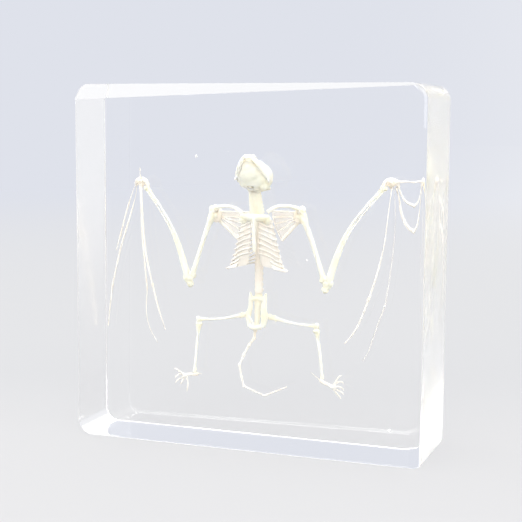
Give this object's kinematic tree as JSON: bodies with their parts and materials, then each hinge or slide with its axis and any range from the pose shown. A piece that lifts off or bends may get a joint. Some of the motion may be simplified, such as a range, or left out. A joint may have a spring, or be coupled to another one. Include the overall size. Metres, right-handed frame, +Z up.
{
  "type": "bat skeleton in resin block",
  "caption": "Small bat's skeleton, spread with its wing fingers hanging, cast in a clear square resin slab that stands on edge.",
  "frame": {"origin": "middle of the block's foot, on the surface that it stands on", "axes": "+X across the block, to the right as seen from its front; +Y from its front face to its back face; +Z up, towards the skull"},
  "size_m": [0.075, 0.024, 0.075],
  "materials": {
    "resin": "clear colourless casting resin, polished",
    "bone": "dry cleaned bone, cream, matte"
  },
  "bodies": {
    "root": {"breastbone": "bone", "collarbone_left": "bone", "collarbone_right": "bone", "femur_left": "bone", "femur_right": "bone", "finger_2_left": "bone", "finger_2_right": "bone", "finger_3_left": "bone", "finger_3_right": "bone", "finger_4_left": "bone", "finger_4_right": "bone", "finger_5_left": "bone", "finger_5_right": "bone", "foot_left": "bone", "foot_right": "bone", "forearm_left": "bone", "forearm_right": "bone", "humerus_left": "bone", "humerus_right": "bone", "lower_jaw": "bone", "lumbar_vertebrae": "bone", "metacarpal_2_left": "bone", "metacarpal_2_right": "bone", "metacarpal_3_left": "bone", "metacarpal_3_right": "bone", "metacarpal_4_left": "bone", "metacarpal_4_right": "bone", "metacarpal_5_left": "bone", "metacarpal_5_right": "bone", "neck_vertebrae": "bone", "pelvis": "bone", "resin_back": "resin", "resin_front": "resin", "ribcage": "bone", "shin_left": "bone", "shin_right": "bone", "shoulder_blade_left": "bone", "shoulder_blade_right": "bone", "skull": "bone", "tail_vertebrae": "bone", "thumb_left": "bone", "thumb_right": "bone", "wrist_left": "bone", "wrist_right": "bone"}
  },
  "joints": []
}
